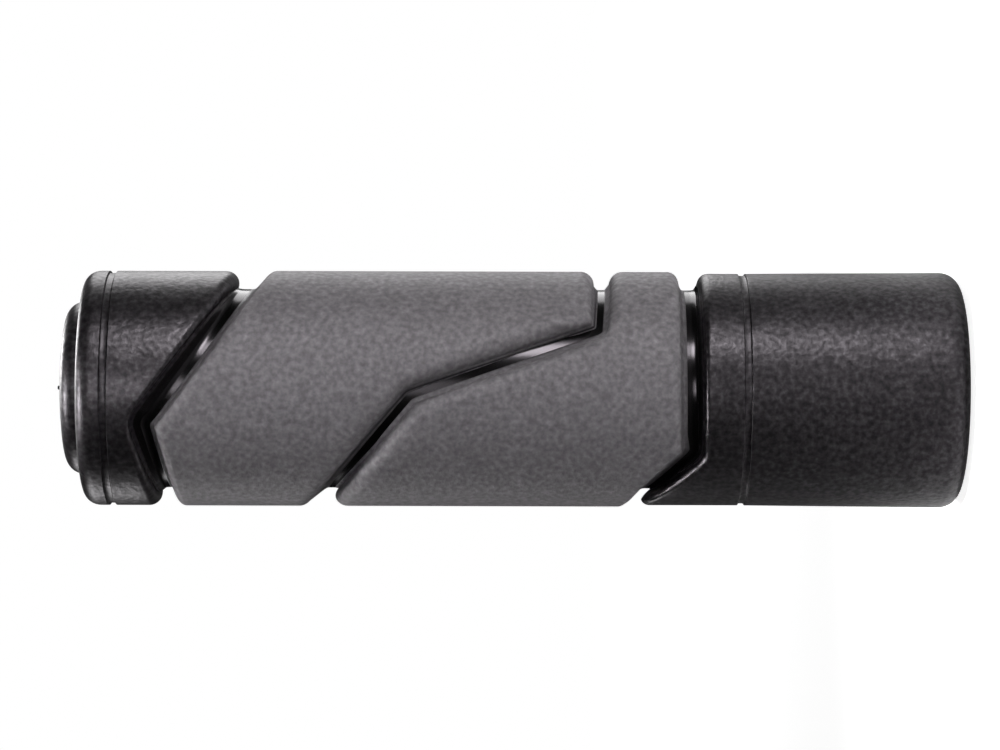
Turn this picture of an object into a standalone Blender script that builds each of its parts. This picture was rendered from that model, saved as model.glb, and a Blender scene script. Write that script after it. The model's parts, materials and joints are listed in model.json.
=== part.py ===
"""Moulded two-colour handlebar grip: a black sleeve with two raised grey bands.

The grip's axis is +Z. The flat face of the open end is at z = 0 and the domed end is on top.
The three wide grooves are drawn as bent lines on the XZ plane and carried straight through
along Y, so the far side is the mirror image of the near side. Every surface is a stack of
closed rings that share the same columns of vertices, so no two solids can cross.

All sizes are in metres.
"""

import math

import bmesh
import bpy

# Overall sizes. The radii build up from the bore outwards
BORE_RADIUS = 0.0111
SLEEVE_WALL = 0.0024
GROOVE_DEPTH = 0.0025
BODY_LENGTH = 0.1187
END_WALL = 0.0040
COLUMNS = 96

# The black lands lie a little lower than the grey bands, which sit just off the sleeve
CLOSED_LAND_DROP = 0.00004
OPEN_LAND_DROP = 0.00021
BAND_GAP = 0.0003

# Shoulder and dome at the closed end
SHOULDER_LENGTH = 0.00215
SHOULDER_WIDTH = 0.00180
SHOULDER_FACE = 0.00247
DOME_WALL = 0.00042
DOME_EDGE_LENGTH = 0.00177
DOME_EDGE_WIDTH = 0.00190
DOME_CROWN = 0.00108

# Small pip left where the rubber was fed into the mould
PIP_RADIUS = 0.00032
PIP_HEIGHT = 0.00070

# Rim of the open end: a flat face round the bore, then a rounded edge
RIM_FACE = 0.00245
RIM_LENGTH = 0.0027

# Fine ring grooves, one on each black land
CLOSED_RING_GAP = 0.00100
CLOSED_RING_WIDTH = 0.00125
CLOSED_RING_DEPTH = 0.00030
OPEN_SLEEVE_LENGTH = 0.02895
OPEN_RING_WIDTH = 0.0012
OPEN_RING_DEPTH = 0.00027

# Plain stretch of each black land between its fine ring groove and its wide groove's lip
CLOSED_LAND_FLAT = 0.00192
OPEN_LAND_FLAT = 0.00370

# The middle groove's two bends, as shares of the stretch between the outer two grooves
MIDDLE_LOW_SHARE = 0.170
MIDDLE_HIGH_SHARE = 0.511

# Bends of the groove lines, as shares of the grip's radius along X
CLOSED_BEND = -0.290
MIDDLE_LOW_BEND = 0.485
MIDDLE_HIGH_BEND = -0.055
OPEN_BEND = -0.512

# Slopes of the groove lines: rise along Z for each unit along X
CLOSED_UPPER_SLOPE = -0.759
CLOSED_LOWER_SLOPE = 0.317
MIDDLE_UPPER_SLOPE = -0.093
MIDDLE_LOWER_SLOPE = -0.862
OPEN_UPPER_SLOPE = 0.010
OPEN_LOWER_SLOPE = -1.120

# How far the outer two groove lines bow towards the open end where they cross x = 0
CLOSED_BOW = 0.00120
OPEN_BOW = -0.00035

# Groove widths on the lower legs, as shares of the width on the upper legs, and how much
# some of them narrow towards the grip's edge
CLOSED_GREY_WIDTH = 0.86
CLOSED_BLACK_WIDTH = 0.98
CLOSED_BLACK_TAPER = 0.23
MIDDLE_INNER_WIDTH = 1.12
MIDDLE_INNER_TAPER = 0.45
OPEN_GREY_WIDTH = 0.68
OPEN_BLACK_WIDTH = 0.95
OPEN_GREY_TAPER = 0.60
OPEN_BLACK_TAPER = 0.97
TAPER_END = 0.94

# Cross-section of the wide grooves: half the floor, the leaning wall and the rounded lip
CLOSED_FLOOR_HALF = 0.00070
MIDDLE_FLOOR_HALF = 0.00045
OPEN_FLOOR_HALF = 0.00085
CLOSED_BLACK_RUN = 0.00150
OPEN_BLACK_RUN = 0.00090
GREY_RUN = 0.00045
MIDDLE_GREY_RUN = 0.00060
CLOSED_BLACK_LIP = 0.00060
OPEN_BLACK_LIP = 0.00080
GREY_LIP = 0.00150
MIDDLE_GREY_LIP = 0.00180
MIN_WALL_HEIGHT = 0.00015

# How much the black walls lose and the black lips gain towards the grip's upper and lower edge
CLOSED_RUN_LOSS = 0.00074
CLOSED_LIP_GAIN = 0.00089
OPEN_RUN_LOSS = 0.00032
OPEN_LIP_GAIN = 0.00052

# How much of the floor's half width is lost at the grip's lower edge, by side of the groove
CLOSED_BLACK_PINCH = 0.45
MIDDLE_INNER_PINCH = 0.90

# Easing of the bends, and the reach over which a slope is evened out
BEND_EASE = 0.0004
SLOPE_REACH = 0.0010

# Steps in each rounded part
LIP_STEPS = 5
EDGE_STEPS = 5
CROWN_STEPS = 3

FLOOR_RADIUS = BORE_RADIUS + SLEEVE_WALL
GRIP_RADIUS = FLOOR_RADIUS + GROOVE_DEPTH
CLOSED_LAND_RADIUS = GRIP_RADIUS - CLOSED_LAND_DROP
OPEN_LAND_RADIUS = GRIP_RADIUS - OPEN_LAND_DROP
BAND_INNER_RADIUS = FLOOR_RADIUS + BAND_GAP
DOME_FOOT_RADIUS = CLOSED_LAND_RADIUS - SHOULDER_WIDTH - SHOULDER_FACE
RIM_INNER_RADIUS = BORE_RADIUS + RIM_FACE

CLOSED_RING_LOW = BODY_LENGTH - SHOULDER_LENGTH - CLOSED_RING_GAP - CLOSED_RING_WIDTH
OPEN_RING_HIGH = OPEN_SLEEVE_LENGTH + OPEN_RING_WIDTH
CLOSED_EDGE_RUN = CLOSED_BLACK_RUN - CLOSED_RUN_LOSS
OPEN_EDGE_RUN = OPEN_BLACK_RUN - OPEN_RUN_LOSS
CLOSED_BLACK_REACH = CLOSED_FLOOR_HALF + CLOSED_EDGE_RUN + CLOSED_BLACK_LIP + CLOSED_LIP_GAIN
OPEN_BLACK_REACH = OPEN_FLOOR_HALF + OPEN_EDGE_RUN + OPEN_BLACK_LIP + OPEN_LIP_GAIN
CLOSED_BEND_BOW = CLOSED_BOW * (1.0 - CLOSED_BEND**2)
CLOSED_GROOVE_Z = CLOSED_RING_LOW - CLOSED_LAND_FLAT - CLOSED_BLACK_REACH + CLOSED_BEND_BOW
OPEN_GROOVE_Z = OPEN_RING_HIGH + OPEN_LAND_FLAT + OPEN_BLACK_REACH
GROOVE_SPAN = CLOSED_GROOVE_Z - OPEN_GROOVE_Z
MIDDLE_LOW_Z = OPEN_GROOVE_Z + MIDDLE_LOW_SHARE * GROOVE_SPAN
MIDDLE_HIGH_Z = OPEN_GROOVE_Z + MIDDLE_HIGH_SHARE * GROOVE_SPAN
MIDDLE_STEEP_SLOPE = (MIDDLE_LOW_Z - MIDDLE_HIGH_Z) / (
    (MIDDLE_LOW_BEND - MIDDLE_HIGH_BEND) * GRIP_RADIUS
)


class Leg:
    """One straight leg of a groove line, with its groove's width shares and taper."""

    def __init__(self, x, z, slope, above=(1.0, 0.0), below=(1.0, 0.0)):
        """Keep a point, the rise for each unit along X, and both sides' (share, taper)."""
        self.x = x
        self.z = z
        self.slope = slope
        self.above = above
        self.below = below

    def height(self, x, edge, inset):
        """Give z at x on the leg moved sideways by edge and inset. Only edge is narrowed."""
        share, taper = self.above if edge > 0.0 else self.below
        past = (self.x - x) / (TAPER_END * GRIP_RADIUS + self.x)
        narrowed = 1.0 - taper * max(0.0, min(1.0, past)) ** 3
        shift = share * (narrowed * edge + inset) * math.hypot(1.0, self.slope)
        return self.z + self.slope * (x - self.x) + shift


class GrooveLine:
    """A bent line on the XZ plane, made of straight legs joined by eased corners."""

    def __init__(self, legs, joins, bow=0.0):
        """Keep the legs, the bow and, for each join, the word "low" or "high"."""
        self.legs = legs
        self.joins = joins
        self.bow = bow

    def height(self, x, edge, inset=0.0):
        """Give z at x on the line moved sideways by edge and inset, positive towards +Z."""
        value = self.legs[0].height(x, edge, inset)
        for index, join in enumerate(self.joins):
            before = self.legs[index]
            after = self.legs[index + 1]
            ease = corner_ease(before.slope, after.slope, edge + inset, join)
            value = eased_join(value, after.height(x, edge, inset), ease, join)
        return value - self.bow * max(0.0, 1.0 - (x / GRIP_RADIUS) ** 2)

    def slope(self, x):
        """Give the line's slope near x, evened out over a short reach."""
        ahead = self.height(x + SLOPE_REACH, 0.0)
        behind = self.height(x - SLOPE_REACH, 0.0)
        return (ahead - behind) / (2.0 * SLOPE_REACH)


def corner_ease(slope_a, slope_b, offset, join):
    """Give how far a corner is eased: more on its outer side, little on its inner side."""
    outer = offset if join == "low" else -offset
    turn = abs(math.atan(slope_a) - math.atan(slope_b))
    lean = math.cos(0.5 * (math.atan(slope_a) + math.atan(slope_b)))
    reach = math.tan(0.5 * turn) * lean * abs(slope_a - slope_b)
    return BEND_EASE + max(0.0, outer) * reach


def eased_join(a, b, ease, join):
    """Take the lower or the higher of two heights with a smooth change between them."""
    blend = max(ease - abs(a - b), 0.0) ** 2 / (4.0 * ease)
    if join == "low":
        return min(a, b) - blend
    return max(a, b) + blend


def build_lines():
    """Give the three groove lines: near the closed end, in the middle, near the open end."""
    closed_x = CLOSED_BEND * GRIP_RADIUS
    low_x = MIDDLE_LOW_BEND * GRIP_RADIUS
    high_x = MIDDLE_HIGH_BEND * GRIP_RADIUS
    open_x = OPEN_BEND * GRIP_RADIUS
    closed = GrooveLine(
        [
            Leg(closed_x, CLOSED_GROOVE_Z, CLOSED_UPPER_SLOPE),
            Leg(
                closed_x, CLOSED_GROOVE_Z, CLOSED_LOWER_SLOPE,
                (CLOSED_BLACK_WIDTH, CLOSED_BLACK_TAPER), (CLOSED_GREY_WIDTH, 0.0),
            ),
        ],
        ["low"],
        CLOSED_BOW,
    )
    middle = GrooveLine(
        [
            Leg(low_x, MIDDLE_LOW_Z, MIDDLE_UPPER_SLOPE),
            Leg(high_x, MIDDLE_HIGH_Z, MIDDLE_STEEP_SLOPE),
            Leg(
                high_x, MIDDLE_HIGH_Z, MIDDLE_LOWER_SLOPE,
                (1.0, 0.0), (MIDDLE_INNER_WIDTH, MIDDLE_INNER_TAPER),
            ),
        ],
        ["high", "low"],
    )
    opened = GrooveLine(
        [
            Leg(open_x, OPEN_GROOVE_Z, OPEN_UPPER_SLOPE),
            Leg(
                open_x, OPEN_GROOVE_Z, OPEN_LOWER_SLOPE,
                (OPEN_GREY_WIDTH, OPEN_GREY_TAPER), (OPEN_BLACK_WIDTH, OPEN_BLACK_TAPER),
            ),
        ],
        ["high"],
        OPEN_BOW,
    )
    return closed, middle, opened


def column_angles():
    """Give the angle of every column, counted from the near side, which faces -Y."""
    return [2.0 * math.pi * index / COLUMNS for index in range(COLUMNS)]


def ring_point(angle, radius, z):
    """Give the point at a radius and height on one column."""
    return (radius * math.sin(angle), -radius * math.cos(angle), z)


def flat_ring(radius, z):
    """Give a level ring."""
    return [ring_point(angle, radius, z) for angle in column_angles()]


def quarter_curve(steps):
    """Give (along, across) pairs of a quarter circle, from (0, 1) to (1, 0)."""
    turns = [0.5 * math.pi * step / steps for step in range(steps + 1)]
    return [(math.sin(turn), math.cos(turn)) for turn in turns]


def lip_rings(line, side, land_radius, foot_radius, section):
    """Give the rings of one side of a groove, from the land down to the foot of its wall.

    side is +1 for material above the groove and -1 for material below it. section holds half
    the floor's width, the wall's run and the lip's radius, then the run's loss and the lip's
    gain towards the grip's edges, and the floor's pinch. The lip is the path of a ball rolled
    along the edge between the round land and the straight wall.
    """
    floor_half, wall_run, lip, loss, gain, pinch = section
    rings = [[] for _ in range(LIP_STEPS + 2)]
    depth = land_radius - foot_radius
    for angle in column_angles():
        across = math.sin(angle)
        edge = floor_half + wall_run - loss * across * across
        slope = line.slope(land_radius * across)
        lean = side * across * slope / math.hypot(1.0, slope)
        turn = math.acos(max(-0.95, min(0.95, lean)))
        most = (depth - MIN_WALL_HEIGHT) / (1.0 - math.cos(turn))
        radius = min(lip + gain * across * across, most)
        for step in range(LIP_STEPS + 1):
            part = turn * step / LIP_STEPS
            drop = radius * (1.0 - math.cos(part))
            inset = radius * (1.0 - math.cos(turn - part))
            level = land_radius - drop
            z = line.height(level * across, side * edge, side * inset)
            rings[step].append(ring_point(angle, level, z))
        pinched = floor_half * (1.0 - pinch * max(0.0, -across) ** 2)
        foot = line.height(foot_radius * across, side * pinched)
        rings[-1].append(ring_point(angle, foot_radius, foot))
    return rings


def fine_ring_rings(centre, width, depth, radius_at):
    """Give the four rings of a shallow ring groove, from its upper edge down."""
    heights = (0.5 * width, 0.22 * width, -0.22 * width, -0.5 * width)
    depths = (0.0, depth, depth, 0.0)
    return [
        flat_ring(radius_at(centre + height) - sink, centre + height)
        for height, sink in zip(heights, depths)
    ]


def crown_height(radius):
    """Give the dome's height above the closed end's flat face at a radius."""
    share = radius / DOME_FOOT_RADIUS
    height = DOME_WALL + DOME_EDGE_LENGTH + DOME_CROWN * (1.0 - share * share)
    past = (radius - (DOME_FOOT_RADIUS - DOME_EDGE_WIDTH)) / DOME_EDGE_WIDTH
    if past > 0.0:
        height -= DOME_EDGE_LENGTH * (1.0 - math.sqrt(max(0.0, 1.0 - past * past)))
    return height


def dome_rings():
    """Give the rings from the pip's top down to the foot of the dome."""
    edge_radius = DOME_FOOT_RADIUS - DOME_EDGE_WIDTH
    top = BODY_LENGTH + crown_height(0.0)
    rings = [
        flat_ring(0.7 * PIP_RADIUS, top + PIP_HEIGHT),
        flat_ring(PIP_RADIUS, top + 0.75 * PIP_HEIGHT),
        flat_ring(PIP_RADIUS, BODY_LENGTH + crown_height(PIP_RADIUS)),
    ]
    for step in range(1, CROWN_STEPS + 1):
        radius = PIP_RADIUS + (edge_radius - PIP_RADIUS) * step / CROWN_STEPS
        rings.append(flat_ring(radius, BODY_LENGTH + crown_height(radius)))
    for along, _ in quarter_curve(EDGE_STEPS)[1:]:
        radius = edge_radius + DOME_EDGE_WIDTH * along
        rings.append(flat_ring(radius, BODY_LENGTH + crown_height(radius)))
    rings.append(flat_ring(DOME_FOOT_RADIUS, BODY_LENGTH))
    return rings


def open_land_radius(z):
    """Give the open end's land radius, which widens a little towards the rim."""
    share = (z - RIM_LENGTH) / (OPEN_SLEEVE_LENGTH - RIM_LENGTH)
    return GRIP_RADIUS - OPEN_LAND_DROP * max(0.0, min(1.0, share))


def body_rings(closed, opened):
    """Give the rings of the black sleeve, from the pip round to the bore's end wall."""
    rings = dome_rings()
    for along, across in quarter_curve(EDGE_STEPS):
        radius = CLOSED_LAND_RADIUS - SHOULDER_WIDTH * (1.0 - along)
        rings.append(flat_ring(radius, BODY_LENGTH - SHOULDER_LENGTH * (1.0 - across)))
    rings += fine_ring_rings(
        CLOSED_RING_LOW + 0.5 * CLOSED_RING_WIDTH, CLOSED_RING_WIDTH, CLOSED_RING_DEPTH,
        lambda z: CLOSED_LAND_RADIUS,
    )
    closed_section = (
        CLOSED_FLOOR_HALF, CLOSED_BLACK_RUN, CLOSED_BLACK_LIP,
        CLOSED_RUN_LOSS, CLOSED_LIP_GAIN, CLOSED_BLACK_PINCH,
    )
    rings += lip_rings(closed, 1, CLOSED_LAND_RADIUS, FLOOR_RADIUS, closed_section)
    open_section = (
        OPEN_FLOOR_HALF, OPEN_BLACK_RUN, OPEN_BLACK_LIP, OPEN_RUN_LOSS, OPEN_LIP_GAIN, 0.0,
    )
    open_side = lip_rings(opened, -1, OPEN_LAND_RADIUS, FLOOR_RADIUS, open_section)
    rings += reversed(open_side)
    rings += fine_ring_rings(
        OPEN_SLEEVE_LENGTH + 0.5 * OPEN_RING_WIDTH, OPEN_RING_WIDTH, OPEN_RING_DEPTH,
        open_land_radius,
    )
    for along, across in quarter_curve(EDGE_STEPS):
        radius = RIM_INNER_RADIUS + (GRIP_RADIUS - RIM_INNER_RADIUS) * across
        rings.append(flat_ring(radius, RIM_LENGTH * (1.0 - along)))
    rings.append(flat_ring(BORE_RADIUS, 0.0))
    rings.append(flat_ring(BORE_RADIUS, BODY_LENGTH - END_WALL))
    return rings


def band_rings(upper, upper_section, lower, lower_section):
    """Give the rings of one grey band that lies between two groove lines."""
    rings = lip_rings(upper, -1, GRIP_RADIUS, BAND_INNER_RADIUS, upper_section)
    rings.reverse()
    rings += lip_rings(lower, 1, GRIP_RADIUS, BAND_INNER_RADIUS, lower_section)
    return rings


def make_material(name, colour, roughness):
    """Make a plain material with one colour and one roughness."""
    material = bpy.data.materials.new(name)
    material.use_nodes = True
    shader = material.node_tree.nodes["Principled BSDF"]
    shader.inputs["Base Color"].default_value = (*colour, 1.0)
    shader.inputs["Roughness"].default_value = roughness
    shader.inputs["Metallic"].default_value = 0.0
    material.diffuse_color = (*colour, 1.0)
    material.roughness = roughness
    return material


def add_node(name, rings, end_points, material):
    """Join the rings into one closed solid and add it to the scene.

    end_points holds the middle points of the first and last ring, or is None when the last
    ring joins back to the first.
    """
    mesh = bpy.data.meshes.new(name)
    shape = bmesh.new()
    loops = [[shape.verts.new(point) for point in ring] for ring in rings]
    pairs = list(zip(loops, loops[1:]))
    if end_points is None:
        pairs.append((loops[-1], loops[0]))
    for first, second in pairs:
        for index in range(COLUMNS):
            after = (index + 1) % COLUMNS
            shape.faces.new((first[index], first[after], second[after], second[index]))
    if end_points is not None:
        for loop, point in ((loops[0], end_points[0]), (loops[-1], end_points[1])):
            middle = shape.verts.new(point)
            for index in range(COLUMNS):
                shape.faces.new((loop[index], loop[(index + 1) % COLUMNS], middle))
    bmesh.ops.recalc_face_normals(shape, faces=shape.faces[:])
    bmesh.ops.triangulate(shape, faces=shape.faces[:])
    for face in shape.faces:
        face.smooth = True
    shape.to_mesh(mesh)
    shape.free()
    mesh.set_sharp_from_angle(angle=math.radians(32.0))
    mesh.materials.append(material)
    item = bpy.data.objects.new(name, mesh)
    bpy.context.scene.collection.objects.link(item)
    return item


def main():
    """Clear the scene and build the three pieces."""
    for item in list(bpy.data.objects):
        bpy.data.objects.remove(item, do_unlink=True)
    black = make_material("black_rubber", (0.018, 0.018, 0.019), 0.55)
    grey = make_material("grey_rubber", (0.155, 0.155, 0.160), 0.65)
    closed, middle, opened = build_lines()
    pip_top = BODY_LENGTH + crown_height(0.0) + PIP_HEIGHT
    ends = ((0.0, 0.0, pip_top), (0.0, 0.0, BODY_LENGTH - END_WALL))
    add_node("grip_body", body_rings(closed, opened), ends, black)
    closed_section = (CLOSED_FLOOR_HALF, GREY_RUN, GREY_LIP, 0.0, 0.0, 0.0)
    middle_section = (MIDDLE_FLOOR_HALF, MIDDLE_GREY_RUN, MIDDLE_GREY_LIP, 0.0, 0.0)
    open_section = (OPEN_FLOOR_HALF, GREY_RUN, GREY_LIP, 0.0, 0.0, 0.0)
    outer = band_rings(closed, closed_section, middle, (*middle_section, 0.0))
    add_node("outer_grey_band", outer, None, grey)
    inner = band_rings(middle, (*middle_section, MIDDLE_INNER_PINCH), opened, open_section)
    add_node("inner_grey_band", inner, None, grey)


main()
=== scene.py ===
"""Dressed model of a moulded two-colour handlebar grip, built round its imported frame.

The grip is one moulding: a black rubber sleeve with a domed closed end, and two grey rubber
bands raised on it between three wide grooves. The axis is +Z and the open end is at z = 0.
The groove lines are drawn on the XZ plane and carried straight through along Y, so each
piece is a stack of rings whose heights follow those lines. A Geometry Nodes tree works the
stack out from a profile and a few named sizes. All sizes are in metres.
"""

import json
import logging
import math
from collections.abc import Callable
from dataclasses import dataclass
from enum import Enum

import bpy
from mathutils import Matrix, Vector

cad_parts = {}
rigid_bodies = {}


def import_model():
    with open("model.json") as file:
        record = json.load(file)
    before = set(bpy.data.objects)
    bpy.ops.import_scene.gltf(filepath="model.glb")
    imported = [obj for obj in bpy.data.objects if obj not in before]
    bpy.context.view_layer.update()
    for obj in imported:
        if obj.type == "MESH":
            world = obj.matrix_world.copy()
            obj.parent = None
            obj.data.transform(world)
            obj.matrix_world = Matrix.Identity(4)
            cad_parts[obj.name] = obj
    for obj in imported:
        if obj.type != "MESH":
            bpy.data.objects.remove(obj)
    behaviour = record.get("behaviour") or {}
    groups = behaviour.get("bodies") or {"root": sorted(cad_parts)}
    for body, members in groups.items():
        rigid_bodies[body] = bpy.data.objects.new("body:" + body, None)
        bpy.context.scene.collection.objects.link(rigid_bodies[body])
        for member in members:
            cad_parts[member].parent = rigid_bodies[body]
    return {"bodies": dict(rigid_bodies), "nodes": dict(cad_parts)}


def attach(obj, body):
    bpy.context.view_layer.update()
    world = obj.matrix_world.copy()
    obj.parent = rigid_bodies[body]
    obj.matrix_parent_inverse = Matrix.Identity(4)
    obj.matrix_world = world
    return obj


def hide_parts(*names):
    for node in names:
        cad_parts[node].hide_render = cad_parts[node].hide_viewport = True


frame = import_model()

LOG = logging.getLogger("grip")
FULL_TURN = 2.0 * math.pi
QUARTER_TURN = 0.5 * math.pi
MERGE_DISTANCE = 0.8e-6
NOISE_MIDDLE = 0.5
MIDDLE_AIM = (0.0, 0.0, 0.061)
LAND_AIM = (0.0, 0.0, 0.118)
DOME_AIM = (0.0, 0.0, 0.122)

Pairs = tuple[tuple[float, float], ...]


class Side(Enum):
    """Which side of a groove a lip stands on."""

    ABOVE = 1.0
    BELOW = -1.0


class Join(Enum):
    """How two straight legs of a groove line meet: the lower or the higher one counts."""

    LOW = 1.0
    HIGH = -1.0


def placed(name: str, data: bpy.types.ID) -> bpy.types.Object:
    """Make an object from its data and put it in the scene."""
    item = bpy.data.objects.new(name, data)
    bpy.context.scene.collection.objects.link(item)
    return item


# Fields and trees


@dataclass(frozen=True)
class Field:
    """A number at every point of a mesh or a surface, worked out by the nodes behind it."""

    tree: bpy.types.NodeTree
    socket: bpy.types.NodeSocket

    def _math(self, operation: str, *values: "Field | float") -> "Field":
        """Add one Math node.

        Args:
            operation: Blender's name for the sum.
            values: what fills the node's inputs, in order.

        Returns:
            The node's result.
        """
        node = self.tree.nodes.new("ShaderNodeMath")
        node.operation = operation
        for index, value in enumerate(values):
            if isinstance(value, Field):
                value.into(node, index)
            else:
                node.inputs[index].default_value = value
        return Field(self.tree, node.outputs[0])

    def into(self, node: bpy.types.Node, entry: str | int) -> None:
        """Link the value to one of a node's inputs."""
        self.tree.links.new(self.socket, node.inputs[entry])

    def __add__(self, other: "Field | float") -> "Field":
        """Add."""
        return self._math("ADD", self, other)

    def __sub__(self, other: "Field | float") -> "Field":
        """Subtract."""
        return self._math("SUBTRACT", self, other)

    def __rsub__(self, other: float) -> "Field":
        """Subtract this from a number."""
        return self._math("SUBTRACT", other, self)

    def __mul__(self, other: "Field | float") -> "Field":
        """Multiply."""
        return self._math("MULTIPLY", self, other)

    def __truediv__(self, other: "Field | float") -> "Field":
        """Divide."""
        return self._math("DIVIDE", self, other)

    def low(self, other: "Field | float") -> "Field":
        """Give the lower of two values."""
        return self._math("MINIMUM", self, other)

    def high(self, other: "Field | float") -> "Field":
        """Give the higher of two values."""
        return self._math("MAXIMUM", self, other)

    def between(self, lowest: float, highest: float) -> "Field":
        """Hold the value between two limits."""
        return self.high(lowest).low(highest)

    def over(self, limit: float) -> "Field":
        """Give 1 where the value is over a limit, and 0 elsewhere."""
        return self._math("GREATER_THAN", self, limit)

    def run(self, operation: str) -> "Field":
        """Apply a sum of one input, such as SINE or SQRT."""
        return self._math(operation, self)

    def mixed(self, other: "Field | float", share: "Field") -> "Field":
        """Move from this value to another as share goes from 0 to 1."""
        if isinstance(other, Field):
            return self + (other - self) * share
        return self * (1.0 - share) + share * other

    def eased(self, start: float, end: float) -> "Field":
        """Give a smooth step from 0 at start to 1 at end."""
        node = self.tree.nodes.new("ShaderNodeMapRange")
        node.interpolation_type = "SMOOTHSTEP"
        self.into(node, "Value")
        node.inputs["From Min"].default_value = start
        node.inputs["From Max"].default_value = end
        return Field(self.tree, node.outputs["Result"])


# Groove lines


@dataclass(frozen=True)
class Width:
    """A groove's width on one side of a leg, and how much it narrows towards the leg's end."""

    share: float = 1.0
    taper: float = 0.0


@dataclass(frozen=True)
class Leg:
    """One straight leg of a groove line on the XZ plane.

    The widths on its two sides taper from x down to -taper_end.
    """

    x: float
    z: float
    slope: float
    taper_end: float
    above: Width = Width()
    below: Width = Width()

    def height(self, across: Field, edge: Field, inset: Field) -> Field:
        """Give z on the leg moved sideways.

        Args:
            across: the X position.
            edge: how far the leg is moved, positive towards +Z. The taper narrows it.
            inset: how much further it is moved, free of the taper.

        Returns:
            The height.
        """
        upper = edge.over(0.0)
        share = upper * (self.above.share - self.below.share) + self.below.share
        taper = upper * (self.above.taper - self.below.taper) + self.below.taper
        past = ((self.x - across) / (self.taper_end + self.x)).between(0.0, 1.0)
        narrowed = 1.0 - taper * past * past * past
        shift = share * (narrowed * edge + inset) * math.hypot(1.0, self.slope)
        return across * self.slope + (self.z - self.slope * self.x) + shift


@dataclass(frozen=True)
class GrooveLine:
    """A bent line on the XZ plane, made of straight legs joined by eased corners."""

    name: str
    legs: tuple[Leg, ...]
    joins: tuple[Join, ...]
    bow_radius: float
    bow: float = 0.0
    ease: float = 0.0004

    def group(self) -> bpy.types.NodeTree:
        """Give the node group that turns an X position and two offsets into a height."""
        found = bpy.data.node_groups.get(self.name)
        if found is not None:
            return found
        tree = bpy.data.node_groups.new(self.name, "GeometryNodeTree")
        for label in ("Across", "Edge", "Inset"):
            tree.interface.new_socket(label, in_out="INPUT", socket_type="NodeSocketFloat")
        tree.interface.new_socket("Height", in_out="OUTPUT", socket_type="NodeSocketFloat")
        start = tree.nodes.new("NodeGroupInput")
        end = tree.nodes.new("NodeGroupOutput")
        across = Field(tree, start.outputs["Across"])
        edge = Field(tree, start.outputs["Edge"])
        inset = Field(tree, start.outputs["Inset"])
        height = self.legs[0].height(across, edge, inset)
        for before, after, join in zip(self.legs, self.legs[1:], self.joins):
            other = after.height(across, edge, inset)
            ease = self._ease(before, after, join, edge + inset)
            height = self._joined(height, other, ease, join)
        share = across / self.bow_radius
        height = height - (1.0 - share * share).high(0.0) * self.bow
        height.into(end, "Height")
        return tree

    def _ease(self, before: Leg, after: Leg, join: Join, offset: Field) -> Field:
        """Give how far a corner is eased: more on its outer side, little on its inner side."""
        first, second = math.atan(before.slope), math.atan(after.slope)
        lean = math.cos(0.5 * (first + second))
        reach = math.tan(0.5 * abs(first - second)) * lean * abs(before.slope - after.slope)
        return (offset * join.value).high(0.0) * reach + self.ease

    @staticmethod
    def _joined(one: Field, other: Field, ease: Field, join: Join) -> Field:
        """Take the lower or higher of two heights with a smooth change between them."""
        over = (ease - (one - other).run("ABSOLUTE")).high(0.0)
        blend = over * over / (ease * 4.0)
        return one.low(other) - blend if join is Join.LOW else one.high(other) + blend

    def height(
        self, across: Field, edge: Field | None = None, inset: Field | None = None
    ) -> Field:
        """Place the group in a tree.

        Args:
            across: the X position.
            edge: how far the line is moved sideways, or None for the line itself.
            inset: how much further it is moved, free of the taper.

        Returns:
            The height.
        """
        node = across.tree.nodes.new("GeometryNodeGroup")
        node.node_tree = self.group()
        for label, value in (("Across", across), ("Edge", edge), ("Inset", inset)):
            if value is not None:
                value.into(node, label)
        return Field(across.tree, node.outputs["Height"])


# Sizes


@dataclass(frozen=True)
class EdgeSection:
    """The section of one groove edge, from the groove's line out to the land.

    loss takes from the wall's run and gain adds to the lip: both count in full at the upper
    and lower outline and not at all on the near side. pinch narrows the floor towards -X, and
    foot_reach is how far a hollow fillet goes on over the floor.
    """

    floor_half: float
    wall_run: float
    lip: float
    loss: float = 0.0
    gain: float = 0.0
    pinch: float = 0.0
    foot_reach: float = 0.0

    @property
    def reach(self) -> float:
        """Width of the edge at the outline."""
        return self.floor_half + self.wall_run - self.loss + self.lip + self.gain


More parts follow.
